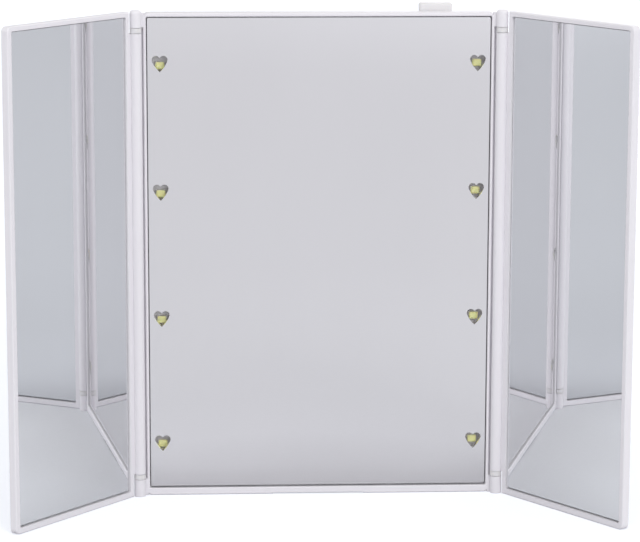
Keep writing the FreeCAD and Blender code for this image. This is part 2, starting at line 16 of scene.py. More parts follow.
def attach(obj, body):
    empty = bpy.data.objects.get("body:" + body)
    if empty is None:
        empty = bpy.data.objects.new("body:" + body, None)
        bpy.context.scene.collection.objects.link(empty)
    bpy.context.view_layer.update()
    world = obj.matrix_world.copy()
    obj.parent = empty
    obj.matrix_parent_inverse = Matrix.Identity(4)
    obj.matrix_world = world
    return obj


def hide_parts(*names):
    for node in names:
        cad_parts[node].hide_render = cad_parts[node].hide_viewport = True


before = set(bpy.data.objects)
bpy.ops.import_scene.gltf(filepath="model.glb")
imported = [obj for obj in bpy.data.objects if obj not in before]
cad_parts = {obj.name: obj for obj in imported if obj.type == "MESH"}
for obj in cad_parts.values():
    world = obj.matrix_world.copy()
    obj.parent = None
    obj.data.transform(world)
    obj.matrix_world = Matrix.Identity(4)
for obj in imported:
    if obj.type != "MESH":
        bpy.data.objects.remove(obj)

Colour = Tuple[float, float, float]
Point = Tuple[float, float, float]
Span = Tuple[float, float]
Spans = Tuple[Span, ...]
Socket = bpy.types.NodeSocket
Faces = List[List[int]]
Shape = Tuple[np.ndarray, Faces]
Dent = Callable[[np.ndarray, np.ndarray, np.ndarray], np.ndarray]

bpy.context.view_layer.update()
MM = 0.001
WHITE: Colour = (1.0, 1.0, 1.0)
EVEN: Point = (1.0, 1.0, 1.0)
HAIR = 1e-7
SHARP_EDGE = math.radians(40.0)
EDGE_SAMPLES = 6
LARGE_FACE = 0.3
MIX_SHARE, MIX_FIRST, MIX_SECOND, MIX_RESULT = 0, 6, 7, 2
log = logging.getLogger("vanity_mirror")


class Body(str, Enum):
    """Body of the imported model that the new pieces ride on."""

    CASE = "centre_case"


class Axis(Enum):
    """Axis that a turned piece is made round."""

    UPRIGHT = 2
    DEPTH = 1


def scaled(colour: Colour, share: float) -> Colour:
    """Colour times a share, up to white."""
    return tuple(min(1.0, tone * share) for tone in colour)


# ---------------------------------------------------------------- node sheets
class NodeSheet:
    """Node tree of a material or of the surroundings, with short calls for the nodes used here."""

    def __init__(self, name: str, surroundings: bool = False) -> None:
        """Start an empty tree.

        Args:
            name: name of the material or world.
            surroundings: True for a world.
        """
        store = bpy.data.worlds if surroundings else bpy.data.materials
        self.owner = store.new(name)
        self.owner.use_nodes = True
        self.tree = self.owner.node_tree
        self.tree.nodes.clear()
        kind = "ShaderNodeOutputWorld" if surroundings else "ShaderNodeOutputMaterial"
        self.output = self.add(kind)
        self.place = self.add("ShaderNodeTexCoord")

    def add(self, kind: str, **inputs: object) -> bpy.types.Node:
        """Add a node and set its inputs.

        Args:
            kind: Blender's name of the node type.
            **inputs: values or sockets, by the input's name with _ for a space.

        Returns:
            The new node.
        """
        node = self.tree.nodes.new(kind)
        for name, value in inputs.items():
            self.feed(node.inputs[name.replace("_", " ")], value)
        return node

    def feed(self, socket: Socket, value: object) -> None:
        """Set or link one input.

        Args:
            socket: the input.
            value: a socket to link, or the value itself.
        """
        if isinstance(value, Socket):
            self.tree.links.new(value, socket)
        elif isinstance(value, tuple) and len(value) == 3 and socket.type == "RGBA":
            socket.default_value = (*value, 1.0)
        else:
            socket.default_value = value

    def noise(self, scale: float, detail: float = 3.0, rough: float = 0.5,
              stretch: Point = EVEN) -> Socket:
        """Noise on Object coordinates.

        Args:
            scale: cycles per metre.
            detail: octaves.
            rough: weight of the finer octaves.
            stretch: scale along each axis.

        Returns:
            The noise value, from 0 to 1.
        """
        turn = self.add("ShaderNodeMapping", Vector=self.place.outputs["Object"],
                        Scale=Vector(stretch))
        node = self.add("ShaderNodeTexNoise", Vector=turn.outputs["Vector"], Scale=scale,
                        Detail=detail, Roughness=rough)
        return node.outputs["Fac"]

    def cells(self, scale: float) -> Socket:
        """Distance to the nearest of the grains scattered at this many per metre."""
        node = self.add("ShaderNodeTexVoronoi", Vector=self.place.outputs["Object"], Scale=scale)
        return node.outputs["Distance"]

    def spread(self, source: Socket, low: float, high: float,
               start: float = 0.3, end: float = 0.7) -> Socket:
        """Map a pattern from start..end to low..high.

        Args:
            source: the pattern.
            low: value at start.
            high: value at end.
            start: lower end of the pattern's range.
            end: upper end of the pattern's range.

        Returns:
            The mapped value.
        """
        node = self.add("ShaderNodeMapRange", Value=source, From_Min=start, From_Max=end,
                        To_Min=low, To_Max=high)
        return node.outputs["Result"]

    def around(self, source: Socket, middle: float, reach: Span) -> Socket:
        """Map a pattern to a range round a value.

        Args:
            source: the pattern.
            middle: the value.
            reach: how far the range goes below it and above it.

        Returns:
            The mapped value.
        """
        return self.spread(source, middle - reach[0], middle + reach[1])

    def blend(self, share: Socket, first: Colour, second: Colour) -> Socket:
        """Colour between two, by a pattern.

        Args:
            share: 0 for the first colour, 1 for the second.
            first: first colour.
            second: second colour.

        Returns:
            The colour.
        """
        node = self.tree.nodes.new("ShaderNodeMix")
        node.data_type = "RGBA"
        for place, value in ((MIX_SHARE, share), (MIX_FIRST, first), (MIX_SECOND, second)):
            self.feed(node.inputs[place], value)
        return node.outputs[MIX_RESULT]

    def soft_edges(self, radius: float) -> Socket:
        """Normal that rounds sharp edges.

        Args:
            radius: how far the rounding reaches.

        Returns:
            The normal.
        """
        node = self.add("ShaderNodeBevel", Radius=radius)
        node.samples = EDGE_SAMPLES
        return node.outputs["Normal"]

    def relief(self, height: Socket, lift: float, edge_radius: float) -> Socket:
        """Bumped normal over soft edges.

        Args:
            height: height pattern, 0 to 1.
            lift: height in metres that 1 stands for.
            edge_radius: rounding of sharp edges.

        Returns:
            The normal.
        """
        node = self.add("ShaderNodeBump", Height=height, Distance=lift, Strength=1.0,
                        Normal=self.soft_edges(edge_radius))
        return node.outputs["Normal"]

    def vector_math(self, operation: str, source: Socket,
                    other: Sequence[float] = (0.0, 0.0, 0.0)) -> Socket:
        """Length of a vector, or its product with another.

        Args:
            operation: LENGTH or DOT_PRODUCT.
            source: the vector.
            other: the other vector, for a product.

        Returns:
            The number.
        """
        node = self.add("ShaderNodeVectorMath")
        node.operation = operation
        self.feed(node.inputs[0], source)
        self.feed(node.inputs[1], Vector(other))
        return node.outputs["Value"]

    def facing(self, way: Sequence[float], start: float = 0.6, end: float = 0.7) -> Socket:
        """Mask that is 1 where the surface looks this way in object space.

        Args:
            way: unit direction.
            start: cosine below which the mask is 0.
            end: cosine above which the mask is 1.

        Returns:
            The mask.
        """
        cosine = self.vector_math("DOT_PRODUCT", self.place.outputs["Normal"], way)
        return self.spread(cosine, 0.0, 1.0, start, end)

    def work_out(self, operation: str, *terms: object) -> Socket:
        """Sum, product or the like of sockets and numbers.

        Args:
            operation: Blender's name of the operation.
            *terms: its two or three inputs.

        Returns:
            The result.
        """
        node = self.add("ShaderNodeMath")
        node.operation = operation
        for socket, term in zip(node.inputs, terms):
            self.feed(socket, term)
        return node.outputs[0]

    def graph(self, source: Socket, *stops: Span) -> Socket:
        """Run straight from stop to stop, and level outside them.

        Args:
            source: the measure.
            *stops: pairs of a measure and the value there, in rising order.

        Returns:
            The value.
        """
        total: object = stops[0][1]
        for (start, low), (end, high) in zip(stops, stops[1:]):
            total = self.work_out("ADD", self.spread(source, 0.0, high - low, start, end), total)
        return total

    def by_ray(self, seen: object, mirrored: object, through: object, base: object = 0.0) -> Socket:
        """Strength by the kind of ray.

        Args:
            seen: strength for camera rays.
            mirrored: strength for glossy rays.
            through: strength for transmission rays.
            base: strength for all other rays.

        Returns:
            The strength.
        """
        path = self.add("ShaderNodeLightPath")
        total: object = base
        for ray, level in (("Is Camera Ray", seen), ("Is Glossy Ray", mirrored),
                           ("Is Transmission Ray", through)):
            extra = self.work_out("SUBTRACT", level, base)
            total = self.work_out("MULTIPLY_ADD", path.outputs[ray], extra, total)
        return total

    def combine(self, kind: str, first: bpy.types.Node, second: bpy.types.Node,
                **inputs: object) -> bpy.types.Node:
        """Mix or add two shaders.

        Args:
            kind: Blender's name of the node type.
            first: first shader.
            second: second shader.
            **inputs: the node's other inputs.

        Returns:
            The node that holds both.
        """
        node = self.add(kind, **inputs)
        sockets = [socket for socket in node.inputs if socket.type == "SHADER"]
        for socket, shader in zip(sockets, (first, second)):
            self.feed(socket, shader.outputs[0])
        return node

    def finish(self, shader: bpy.types.Node) -> bpy.types.ID:
        """Put the shader on the output and return the material or world."""
        self.feed(self.output.inputs["Surface"], shader.outputs[0])
        return self.owner


# ---------------------------------------------------------------- finishes
@dataclass(frozen=True)
class MouldedPlastic:
    """Injection-moulded plastic with a fine spark-eroded grain and a slow drift in tone."""

    name: str
    colour: Colour
    roughness: float = 0.40
    drift: float = 0.02
    drift_scale: float = 18.0
    grain_scale: float = 2600.0
    grain_height: float = 0.000012
    gloss_scale: float = 140.0
    gloss_reach: Span = (0.04, 0.05)
    edge_radius: float = 0.0003
    glow: float = 0.0
    glow_radius: Point = (1.0, 0.9, 0.8)
    glow_depth: float = 0.0015

    def make(self) -> bpy.types.Material:
        """Build the material.

        Returns:
            The material.
        """
        sheet = NodeSheet(self.name)
        slow = sheet.spread(sheet.noise(self.drift_scale), 0.0, 1.0)
        tone = sheet.blend(slow, self.colour, scaled(self.colour, 1.0 - self.drift))
        grain = sheet.noise(self.grain_scale, rough=0.6)
        gloss = sheet.around(sheet.noise(self.gloss_scale, detail=4.0), self.roughness,
                             self.gloss_reach)
        shader = sheet.add("ShaderNodeBsdfPrincipled", Base_Color=tone, Roughness=gloss,
                           Normal=sheet.relief(grain, self.grain_height, self.edge_radius),
                           Subsurface_Weight=self.glow, Subsurface_Scale=self.glow_depth,
                           Subsurface_Radius=Vector(self.glow_radius))
        return sheet.finish(shader)


@dataclass(frozen=True)
class SilveredGlass:
    """Mirror: silver behind clean float glass, with ground edges and a painted back."""

    name: str
    facing: Point
    silver: Colour
    edge: Colour
    backing: Colour = (0.30, 0.31, 0.33)
    wipe_scale: float = 26.0
    wipe_stretch: Point = (1.0, 1.0, 0.35)
    wipe_share: float = 0.985
    haze_scale: float = 60.0
    haze: float = 0.012
    rim_scale: float = 900.0
    rim_gloss: Span = (0.30, 0.55)

    def make(self) -> bpy.types.Material:
        """Build the material.

        Returns:
            The material.
        """
        sheet = NodeSheet(self.name)
        wipe = sheet.noise(self.wipe_scale, detail=4.0, rough=0.6, stretch=self.wipe_stretch)
        tone = sheet.blend(sheet.spread(wipe, 0.0, 1.0), self.silver,
                           scaled(self.silver, self.wipe_share))
        front = sheet.add("ShaderNodeBsdfPrincipled", Base_Color=tone, Metallic=1.0,
                          Roughness=sheet.spread(sheet.noise(self.haze_scale), 0.0, self.haze))
        behind = sheet.facing([-part for part in self.facing])
        rim = sheet.add("ShaderNodeBsdfPrincipled",
                        Base_Color=sheet.blend(behind, self.edge, self.backing),
                        Roughness=sheet.spread(sheet.noise(self.rim_scale), *self.rim_gloss))
        mix = sheet.combine("ShaderNodeMixShader", rim, front, Fac=sheet.facing(self.facing))
        return sheet.finish(mix)


@dataclass(frozen=True)
class ClearGlass:
    """Clear areas of the glass, with a trace of dust; they gloss over when seen at a slant."""

    name: str
    colour: Colour = (0.96, 0.97, 0.96)
    refraction: float = 1.5
    dust_scale: float = 1500.0
    dust: float = 0.06
    dust_range: Span = (0.45, 0.75)
    cover: Span = (0.10, 0.95)
    slant_range: Span = (0.45, 0.75)

    def make(self) -> bpy.types.Material:
        """Build the material.

        Returns:
            The material.
        """
        sheet = NodeSheet(self.name)
        grain = sheet.noise(self.dust_scale, detail=4.0, rough=0.7)
        dust = sheet.spread(grain, 0.0, self.dust, *self.dust_range)
        slant = sheet.add("ShaderNodeLayerWeight", Blend=0.5).outputs["Facing"]
        shader = sheet.add("ShaderNodeBsdfPrincipled", Base_Color=self.colour, Roughness=dust,
                           Transmission_Weight=1.0, IOR=self.refraction,
                           Alpha=sheet.spread(slant, *self.cover, *self.slant_range))
        return sheet.finish(shader)


@dataclass(frozen=True)
class GroundMetal:
    """Drawn, ground or plated metal with fine lines along its run."""

    name: str
    colour: Colour
    roughness: float = 0.28
    lines: Point = (1.0, 1.0, 0.04)
    line_scale: float = 5200.0
    line_height: float = 0.000006
    dull_scale: float = 300.0
    dull_share: float = 0.86
    gloss_reach: Span = (0.07, 0.09)
    edge_radius: float = 0.0001

    def make(self) -> bpy.types.Material:
        """Build the material.

        Returns:
            The material.
        """
        sheet = NodeSheet(self.name)
        lines = sheet.noise(self.line_scale, detail=2.0, stretch=self.lines)
        dull = sheet.spread(sheet.noise(self.dull_scale), 0.0, 1.0)
        tone = sheet.blend(dull, self.colour, scaled(self.colour, self.dull_share))
        gloss = sheet.around(lines, self.roughness, self.gloss_reach)
        shader = sheet.add("ShaderNodeBsdfPrincipled", Base_Color=tone, Metallic=1.0,
                           Roughness=gloss,
                           Normal=sheet.relief(lines, self.line_height, self.edge_radius))
        return sheet.finish(shader)


@dataclass(frozen=True)
class CastResin:
    """Gel or lacquer with suspended grains, such as phosphor, solder mask or edge paint."""

    name: str
    colour: Colour
    fleck: Colour
    fleck_scale: float = 9000.0
    roughness: float = 0.3
    glow: float = 0.0
    # painted glow: a faint emission that brightens the gel in its shaded well; it is painted light,
    # not a lamp
    painted_glow: float = 0.0
    fleck_range: Span = (0.05, 0.55)
    wave_scale: float = 700.0
    wave_height: float = 0.000006
    gloss_reach: Span = (0.05, 0.08)
    edge_radius: float = 0.00015
    glow_radius: Point = (1.0, 0.8, 0.4)
    glow_depth: float = 0.0008

    def make(self) -> bpy.types.Material:
        """Build the material.

        Returns:
            The material.
        """
        sheet = NodeSheet(self.name)
        flecks = sheet.spread(sheet.cells(self.fleck_scale), 1.0, 0.0, *self.fleck_range)
        tone = sheet.blend(flecks, self.colour, self.fleck)
        wave = sheet.noise(self.wave_scale)
        gloss = sheet.around(wave, self.roughness, self.gloss_reach)
        shader = sheet.add("ShaderNodeBsdfPrincipled", Base_Color=tone, Roughness=gloss,
                           Normal=sheet.relief(wave, self.wave_height, self.edge_radius),
                           Subsurface_Weight=self.glow, Subsurface_Scale=self.glow_depth,
                           Subsurface_Radius=Vector(self.glow_radius),
                           Emission_Color=self.colour, Emission_Strength=self.painted_glow)
        return sheet.finish(shader)


@dataclass(frozen=True)
class FoamSheet:
    """Closed-cell adhesive foam."""

    name: str
    colour: Colour
    cell_scale: float = 3800.0
    cell_depth: float = 0.00006
    cell_light: float = 1.5
    gloss: Span = (0.70, 0.95)
    edge_radius: float = 0.0001

    def make(self) -> bpy.types.Material:
        """Build the material.

        Returns:
            The material.
        """
        sheet = NodeSheet(self.name)
        cells = sheet.cells(self.cell_scale)
        tone = sheet.blend(cells, self.colour, scaled(self.colour, self.cell_light))
        shader = sheet.add("ShaderNodeBsdfPrincipled", Base_Color=tone,
                           Roughness=sheet.spread(cells, *self.gloss, 0.0, 1.0),
                           Normal=sheet.relief(cells, self.cell_depth, self.edge_radius))
        return sheet.finish(shader)


@dataclass(frozen=True)
class CellSleeve:
    """Shrink sleeve of a dry cell: a dark field and a copper-toned end, by the piece's UV run."""

    name: str
    field_tone: Colour = (0.030, 0.034, 0.042)
    band_tone: Colour = (0.62, 0.33, 0.13)
    band_start: float = 0.74
    band_edge: float = 0.004
    crinkle_scale: float = 260.0
    crinkle_stretch: Point = (1.0, 1.0, 0.3)
    crinkle_height: float = 0.00002
    gloss: Span = (0.18, 0.34)
    sheen: float = 0.35
    edge_radius: float = 0.0001

    def make(self) -> bpy.types.Material:
        """Build the material.

        Returns:
            The material.
        """
        sheet = NodeSheet(self.name)
        run = sheet.add("ShaderNodeUVMap")
        run.uv_map = "run"
        along = sheet.add("ShaderNodeSeparateXYZ", Vector=run.outputs["UV"]).outputs["Y"]
        band = sheet.spread(along, 0.0, 1.0, self.band_start, self.band_start + self.band_edge)
        crinkle = sheet.noise(self.crinkle_scale, detail=4.0, rough=0.6,
                              stretch=self.crinkle_stretch)
        shader = sheet.add("ShaderNodeBsdfPrincipled", Metallic=self.sheen,
                           Base_Color=sheet.blend(band, self.field_tone, self.band_tone),
                           Roughness=sheet.spread(crinkle, *self.gloss),
                           Normal=sheet.relief(crinkle, self.crinkle_height, self.edge_radius))
        return sheet.finish(shader)


@dataclass(frozen=True)
class TwinLead:
    """Flat two-core lead: a red core beside a black one, by a square wave across the run."""

    name: str
    red: Colour = (0.42, 0.03, 0.03)
    black: Colour = (0.02, 0.02, 0.02)
    core_scale: float = 130.0
    core_border: Span = (0.45, 0.55)
    core_height: float = 0.00012
    gloss_scale: float = 800.0
    gloss: Span = (0.38, 0.55)
    edge_radius: float = 0.00015

    def make(self) -> bpy.types.Material:
        """Build the material.

        Returns:
            The material.
        """
        sheet = NodeSheet(self.name)
        across = sheet.add("ShaderNodeTexWave", Vector=sheet.place.outputs["Object"],
                           Scale=self.core_scale, Distortion=0.0).outputs["Fac"]
        cores = sheet.spread(across, 0.0, 1.0, *self.core_border)
        shader = sheet.add("ShaderNodeBsdfPrincipled",
                           Base_Color=sheet.blend(cores, self.red, self.black),
                           Roughness=sheet.spread(sheet.noise(self.gloss_scale), *self.gloss),
                           Normal=sheet.relief(across, self.core_height, self.edge_radius))
        return sheet.finish(shader)


class Finish:
    """The finishes of this mirror, each made once."""

    def __init__(self) -> None:
        """Make the shared materials."""
        self.case = MouldedPlastic("case plastic", (0.80, 0.782, 0.822)).make()
        self.button = MouldedPlastic("button plastic", (0.75, 0.738, 0.750), 0.33,
                                     glow=0.25, edge_radius=0.00045).make()
        self.hearts = ClearGlass("heart glass").make()
        self.shield = CastResin("light shield", (0.850, 0.815, 0.840), (0.880, 0.850, 0.870),
                                5200.0, 0.42).make()
        # the phosphor gel's faint emission is painted light that brightens it in its shaded well
        self.phosphor = CastResin("phosphor gel", (0.93, 0.91, 0.42), (0.95, 0.93, 0.58),
                                  9000.0, 0.28, glow=0.3, painted_glow=0.14).make()
        self.package = CastResin("diode package", (0.80, 0.78, 0.76), (0.84, 0.82, 0.80),
                                 7000.0, 0.38).make()
        self.board = CastResin("solder mask", (0.850, 0.835, 0.850), (0.880, 0.870, 0.880),
                               2500.0, 0.26).make()
        self.tape = FoamSheet("foam tape", (0.05, 0.05, 0.052)).make()
        self.rod = GroundMetal("ground rod", (0.60, 0.60, 0.62)).make()
        self.screw = GroundMetal("plated screw", (0.66, 0.65, 0.62), 0.30, EVEN, 2400.0).make()
        self.contact = GroundMetal("nickel contact", (0.68, 0.66, 0.61), 0.24,
                                   (0.05, 1.0, 1.0)).make()
        self.cell_end = GroundMetal("cell end", (0.72, 0.71, 0.70), 0.22, EVEN, 1800.0).make()
        self.sleeve = CellSleeve("cell sleeve").make()
        self.switch = MouldedPlastic("switch nylon", (0.030, 0.030, 0.032), 0.48,
                                     drift=0.2).make()
        self.lead = TwinLead("twin lead").make()


# ---------------------------------------------------------------- numpy meshes
def full_turn(columns: int) -> np.ndarray:
    """Angles of evenly spaced points round a circle."""
    return np.linspace(0.0, 2.0 * math.pi, columns, endpoint=False)


def signed_power(value: np.ndarray, power: float) -> np.ndarray:
    """sign(v) |v|^power."""
    return np.sign(value) * np.abs(value) ** power


def wrapped_faces(rows: int, columns: int, close_rows: bool) -> np.ndarray:
    """Quads of a grid whose columns run round and join.

    Args:
        rows: number of rows.
        columns: number of columns, wrapped.
        close_rows: True if the last row joins the first.

    Returns:
        An array of vertex numbers, four to a face: (i,j), (i,j+1), (i+1,j+1), (i+1,j).
    """
    last = rows if close_rows else rows - 1
    i, j = np.meshgrid(np.arange(last), np.arange(columns), indexing="ij")
    here, above = i * columns, (i + 1) % rows * columns
    following = (j + 1) % columns
    quads = np.stack([here + j, here + following, above + following, above + j], axis=-1)
    return quads.reshape(-1, 4)


def capped_faces(rows: int, columns: int) -> Faces:
    """Faces of a wrapped grid that a pole closes at each end.

    Args:
        rows: number of rows.
        columns: number of columns, wrapped.

    Returns:
        The quads, then the fans round the poles, which are numbered after the grid.
    """
    count = rows * columns
    top = count - columns
    column = np.arange(columns)
    following = (column + 1) % columns
    low = np.stack([np.full(columns, count), following, column], axis=-1)
    high = np.stack([np.full(columns, count + 1), top + column, top + following], axis=-1)
    return wrapped_faces(rows, columns, False).tolist() + low.tolist() + high.tolist()


def turned(profile: np.ndarray, centre: Sequence[float], axis: Axis, columns: int,
           dent: Optional[Dent] = None) -> Shape:
    """Closed surface of revolution: P(t, a) = centre + r(t) (cos a, sin a) + h(t) axis.

    Args:
        profile: n by 2 array of radius and height. The first and last radius are 0.
        centre: the axis' foot.
        axis: axis that it is turned round.
        columns: points round the axis.
        dent: lowers the height by dent(x, y, height), or None.

    Returns:
        Vertices and faces. The rows between the two poles come first, then the poles.
    """
    radius, height = profile[1:-1, 0], profile[1:-1, 1]
    angle = full_turn(columns)
    across = np.outer(radius, np.cos(angle))
    along = np.outer(radius, np.sin(angle))
    up = np.repeat(height[:, None], columns, axis=1)
    poles = np.array([[0.0, 0.0, profile[0, 1]], [0.0, 0.0, profile[-1, 1]]])
    points = np.concatenate([np.stack([across, along, up], axis=-1).reshape(-1, 3), poles])
    if dent is not None:
        points[:, 2] -= dent(points[:, 0], points[:, 1], points[:, 2])
    if axis is Axis.DEPTH:
        points = np.stack([points[:, 0], points[:, 2], -points[:, 1]], axis=-1)
    return points + np.asarray(centre), capped_faces(len(radius), columns)


def joined(shapes: Iterable[Shape]) -> Shape:
    """One shape of several.

    Args:
        shapes: vertices and faces of each.

    Returns:
        All vertices, and all faces with their numbers moved up.
    """
    points, faces, base = [], [], 0
    for shape_points, shape_faces in shapes:
        points.append(shape_points)
        faces += [[base + number for number in face] for face in shape_faces]
        base += len(shape_points)
    return np.concatenate(points), faces


def make_piece(name: str, shape: Shape, body: Body,
               materials: Sequence[bpy.types.Material],
               face_slots: Optional[np.ndarray] = None,
               run: Optional[np.ndarray] = None) -> bpy.types.Object:
    """Put arrays into a mesh object that rides on a body.

    Args:
        name: the piece's name.
        shape: its vertices, n by 3, in metres, and the vertex numbers of each face.
        body: body that it rides on.
        materials: its materials in order.
        face_slots: material number of each face, or None for all 0.
        run: UV of each vertex for the map "run", or None.

    Returns:
        The object.
    """
    points, faces = shape
    mesh = bpy.data.meshes.new(name)
    mesh.from_pydata(points.tolist(), [], faces)
    for material in materials:
        mesh.materials.append(material)
    if face_slots is not None:
        mesh.polygons.foreach_set("material_index", face_slots.astype(np.int32))
    if run is not None:
        corners = np.zeros(len(mesh.loops), np.int32)
        mesh.loops.foreach_get("vertex_index", corners)
        layer = mesh.uv_layers.new(name="run")
        layer.data.foreach_set("uv", run[corners].astype(np.float32).ravel())
    mesh.shade_smooth()
    mesh.set_sharp_from_angle(angle=SHARP_EDGE)
    mesh.update()
    piece = bpy.data.objects.new(name, mesh)
    bpy.context.scene.collection.objects.link(piece)
    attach(piece, body.value)
    log.info("%s: %d faces on %s", name, len(mesh.polygons), body.value)
    return piece


def facing_way(node: str) -> Point:
    """Way that a sheet's reflecting face looks.

    Args:
        node: CAD node of the sheet.

    Returns:
        Mean normal of its large faces that look forwards, weighted by area.
    """
    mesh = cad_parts[node].data
    count = len(mesh.polygons)
    normals, areas = np.zeros(count * 3), np.zeros(count)
    mesh.polygons.foreach_get("normal", normals)
    mesh.polygons.foreach_get("area", areas)
    normals = normals.reshape(-1, 3)
    large = (areas > areas.max() * LARGE_FACE) & (normals[:, 1] < 0.0)
    mean = (normals[large] * areas[large][:, None]).sum(axis=0)
    return tuple(mean / np.linalg.norm(mean))


def dress(nodes: Sequence[str], material: bpy.types.Material) -> None:
    """Give CAD nodes one material.

    Args:
        nodes: names of the nodes.
        material: the material.
    """
    for name in nodes:
        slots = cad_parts[name].data.materials
        slots.clear()
        slots.append(material)
        log.info("%s: %s", name, material.name)


# ---------------------------------------------------------------- sub-assemblies
@dataclass
class CentreCase:
    """Front frame, rear housing and the four screws that close them."""

    finish: Finish
    screw_places_mm: Spans = ((-26.0, 170.4), (26.0, 170.4), (-49.0, 11.0), (49.0, 11.0))
    screw_columns: int = 64
    head_radius: float = 2.5 * MM
    head_depth: float = 1.6 * MM
    head_rings: int = 15
    head_edge: float = 0.12 * MM
    head_sink: float = 0.02 * MM
    shank_radius: float = 0.9 * MM
    shank_length: float = 9.0 * MM
    back_y: float = 9.0 * MM
    recess_width: float = 0.75 * MM
    recess_reach: float = 1.45 * MM
    recess_depth: float = 0.9 * MM
    recess_slope: float = 0.22 * MM

    def build(self) -> None:
        """Make the screws with their cross recess."""
        shape = joined(self.screw(x * MM, z * MM) for x, z in self.screw_places_mm)
        piece = make_piece("cross_recess_screws", shape, Body.CASE,
                           [self.finish.screw])
        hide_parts("case_screws")

    def screw(self, x: float, z: float) -> Shape:
        """Countersunk screw with a cross recess in its head.

        Args:
            x: place across.
            z: place up.

        Returns:
            Vertices and faces.
        """
        edge, radius, length = self.head_edge, self.shank_radius, self.shank_length
        rings = np.linspace(0.0, self.head_radius - edge, self.head_rings)
        head = np.stack([rings, np.zeros_like(rings)], axis=-1)
        rest = np.array([[self.head_radius, -edge], [radius, -self.head_depth],
                         [radius, -length + 2 * edge], [radius - 2 * edge, -length],
                         [0.0, -length]])
        profile = np.concatenate([head, rest])[::-1]
        foot = (x, self.back_y - self.head_sink, z)
        return turned(profile, foot, Axis.DEPTH, self.screw_columns, self.cross)

    def cross(self, x: np.ndarray, y: np.ndarray, height: np.ndarray) -> np.ndarray:
        """Depth of the recess on the head's flat, with s(t) = t clipped to 0..1.

        D(x, y) = d s((w/2 - min(|x|, |y|)) / e + 1/2) s((R - r) / 2e), r = hypot(x, y).

        Args:
            x: first coordinate in the head's plane.
            y: second coordinate in the head's plane.
            height: height along the axis.

        Returns:
            How far each point goes down.
        """
        nearer = np.minimum(np.abs(x), np.abs(y))
        narrow = np.clip((self.recess_width / 2 - nearer) / self.recess_slope + 0.5, 0.0, 1.0)
        inside = np.clip((self.recess_reach - np.hypot(x, y)) / (self.recess_slope * 2), 0.0, 1.0)
        return np.where(height > -HAIR, self.recess_depth * narrow * inside, 0.0)

    def dress(self) -> None:
        """Give the mouldings, the tape and the leads their finishes."""
        dress(["front_frame", "rear_housing"], self.finish.case)
        dress(["centre_tape"], self.finish.tape)
        dress(["wiring"], self.finish.lead)
        dress(["case_screws"], self.finish.screw)


